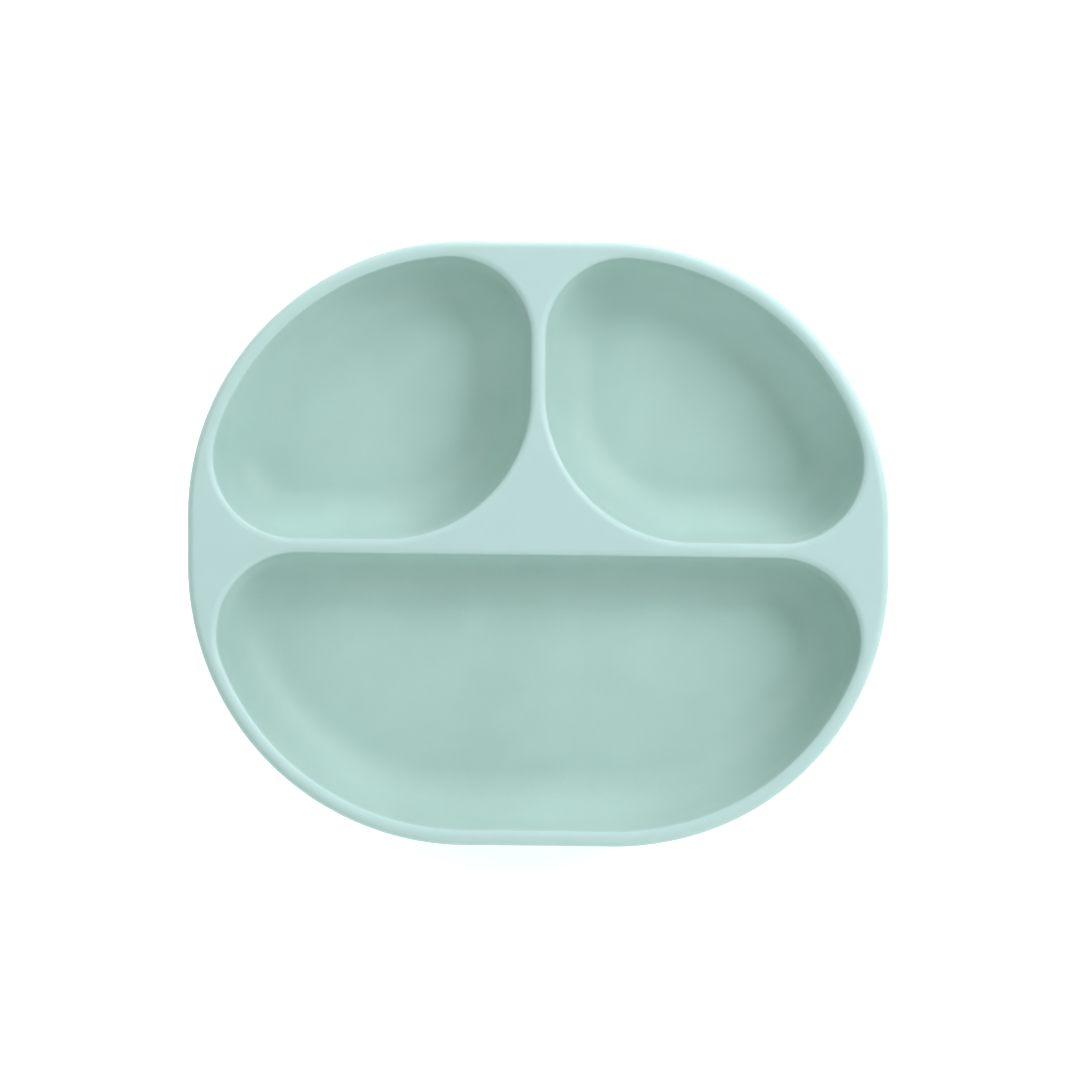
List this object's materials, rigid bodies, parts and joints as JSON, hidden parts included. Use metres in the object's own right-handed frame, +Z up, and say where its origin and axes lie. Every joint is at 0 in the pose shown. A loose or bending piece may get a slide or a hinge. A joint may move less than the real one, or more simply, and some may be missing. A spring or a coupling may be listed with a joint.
{
  "type": "divided suction dish",
  "caption": "Soft rounded dish with a long front well and two rear wells, standing on plug-in suction cups with pull tabs.",
  "frame": {"origin": "on the table under the middle of the dish's outline", "axes": "+X to the dish's right along its longest side, +Y to the rear, where the two small wells are, +Z up"},
  "size_m": [0.216, 0.1862, 0.035],
  "materials": {
    "tray_silicone": "matte mint silicone, soft satin",
    "cup_silicone": "smooth mint silicone, slightly glossier"
  },
  "bodies": {
    "dish": {"dish": "tray_silicone"},
    "cup_rear_left": {"cup_plug_rear_left": "cup_silicone"},
    "skirt_rear_left": {"cup_skirt_rear_left": "cup_silicone"},
    "tab_rear_left": {"pull_tab_rear_left": "cup_silicone"},
    "cup_rear_right": {"cup_plug_rear_right": "cup_silicone"},
    "skirt_rear_right": {"cup_skirt_rear_right": "cup_silicone"},
    "tab_rear_right": {"pull_tab_rear_right": "cup_silicone"},
    "cup_front_left": {"cup_plug_front_left": "cup_silicone"},
    "skirt_front_left": {"cup_skirt_front_left": "cup_silicone"},
    "tab_front_left": {"pull_tab_front_left": "cup_silicone"},
    "cup_front_right": {"cup_plug_front_right": "cup_silicone"},
    "skirt_front_right": {"cup_skirt_front_right": "cup_silicone"},
    "tab_front_right": {"pull_tab_front_right": "cup_silicone"}
  },
  "joints": [
    {"name": "plug_out_rear_left", "type": "slide", "parent": "dish", "child": "cup_rear_left", "axis": [0, 0, -1], "range_m": [0, 0.009]},
    {"name": "press_rear_left", "type": "slide", "parent": "cup_rear_left", "child": "skirt_rear_left", "axis": [0, 0, 1], "range_m": [0, 0.002]},
    {"name": "peel_rear_left", "type": "hinge", "parent": "skirt_rear_left", "child": "tab_rear_left", "pos_m": [-0.07067, 0.05931, 0.0009], "axis": [0.6429, 0.766, 0], "range_deg": [0, 35], "stiffness_Nm_per_rad": 0.01},
    {"name": "plug_out_rear_right", "type": "slide", "parent": "dish", "child": "cup_rear_right", "axis": [0, 0, -1], "range_m": [0, 0.009]},
    {"name": "press_rear_right", "type": "slide", "parent": "cup_rear_right", "child": "skirt_rear_right", "axis": [0, 0, 1], "range_m": [0, 0.002]},
    {"name": "peel_rear_right", "type": "hinge", "parent": "skirt_rear_right", "child": "tab_rear_right", "pos_m": [0.07067, 0.05931, 0.0009], "axis": [0.6429, -0.766, 0], "range_deg": [0, 35], "stiffness_Nm_per_rad": 0.01},
    {"name": "plug_out_front_left", "type": "slide", "parent": "dish", "child": "cup_front_left", "axis": [0, 0, -1], "range_m": [0, 0.009]},
    {"name": "press_front_left", "type": "slide", "parent": "cup_front_left", "child": "skirt_front_left", "axis": [0, 0, 1], "range_m": [0, 0.002]},
    {"name": "peel_front_left", "type": "hinge", "parent": "skirt_front_left", "child": "tab_front_left", "pos_m": [-0.07067, -0.05931, 0.0009], "axis": [-0.6429, 0.766, 0], "range_deg": [0, 35], "stiffness_Nm_per_rad": 0.01},
    {"name": "plug_out_front_right", "type": "slide", "parent": "dish", "child": "cup_front_right", "axis": [0, 0, -1], "range_m": [0, 0.009]},
    {"name": "press_front_right", "type": "slide", "parent": "cup_front_right", "child": "skirt_front_right", "axis": [0, 0, 1], "range_m": [0, 0.002]},
    {"name": "peel_front_right", "type": "hinge", "parent": "skirt_front_right", "child": "tab_front_right", "pos_m": [0.07067, -0.05931, 0.0009], "axis": [-0.6429, -0.766, 0], "range_deg": [0, 35], "stiffness_Nm_per_rad": 0.01}
  ]
}
